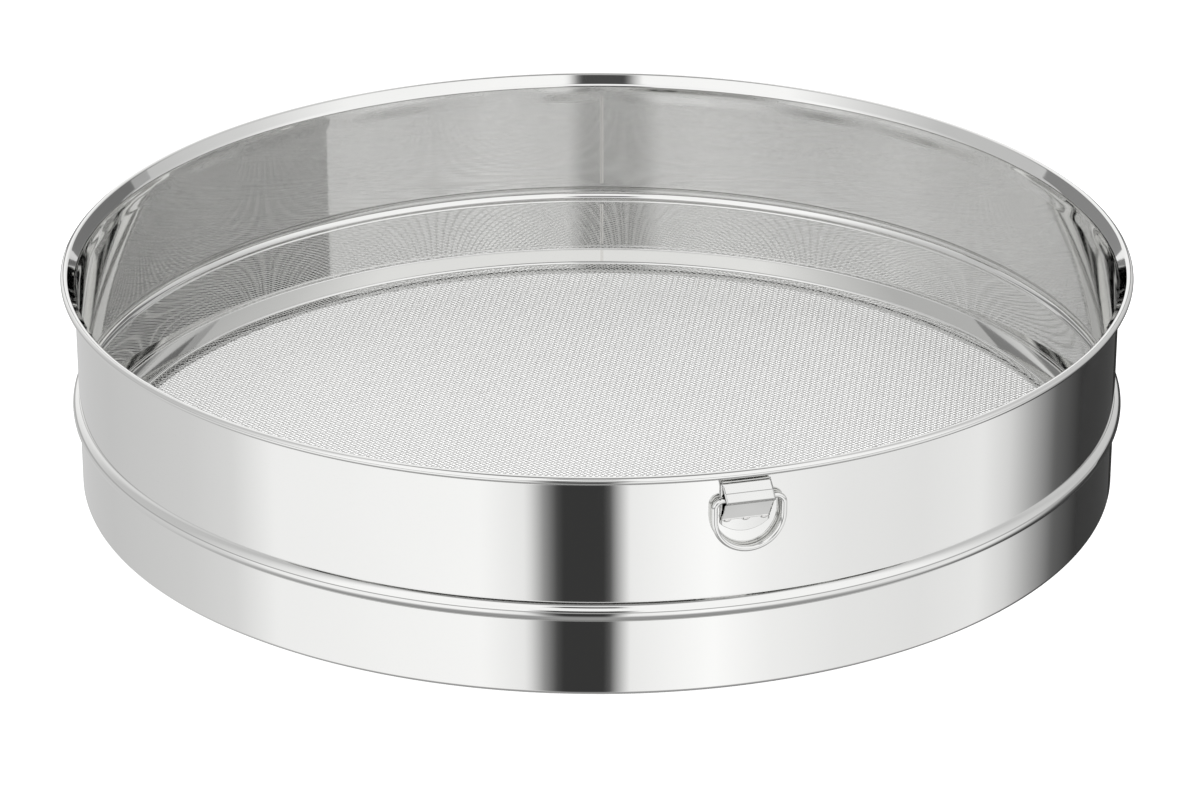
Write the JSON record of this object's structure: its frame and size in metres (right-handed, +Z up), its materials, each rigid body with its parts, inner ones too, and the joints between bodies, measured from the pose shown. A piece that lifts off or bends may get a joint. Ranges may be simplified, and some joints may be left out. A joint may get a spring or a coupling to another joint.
{
  "type": "soil sieve",
  "caption": "Round stainless soil sieve with a straight wall, a stiffening rib, a rolled rim, a woven wire bottom and a swinging D-ring hanger under the rim.",
  "frame": {"origin": "centre of the base circle, on the surface the sieve stands on", "axes": "+Z up along the sieve's axis, -Y from the axis towards the D-ring hanger, +X to the right seen from the hanger's side"},
  "size_m": [0.4, 0.4, 0.0844],
  "materials": {
    "polished_sheet": "mirror-polished stainless sheet",
    "pressed_ring": "bright stainless sheet with forming marks",
    "hidden_wire": "drawn stainless wire",
    "cloth_wire": "bright drawn stainless wire, plain woven",
    "strap_sheet": "bright stainless strip",
    "ring_wire": "polished stainless wire",
    "weld": "dressed weld metal"
  },
  "bodies": {
    "sieve": {"shell": "polished_sheet", "rim_wire": "hidden_wire", "seam_weld": "weld", "wire_cloth": "cloth_wire", "press_ring": "pressed_ring", "hanger_strap": "strap_sheet", "spot_welds": "weld"},
    "ring": {"d_ring": "ring_wire"}
  },
  "joints": [
    {"name": "ring_swing", "type": "hinge", "parent": "sieve", "child": "ring", "pos_m": [0, -0.19677, 0.0728], "axis": [-1, 0, 0], "range_deg": [-1.5, 152]}
  ]
}
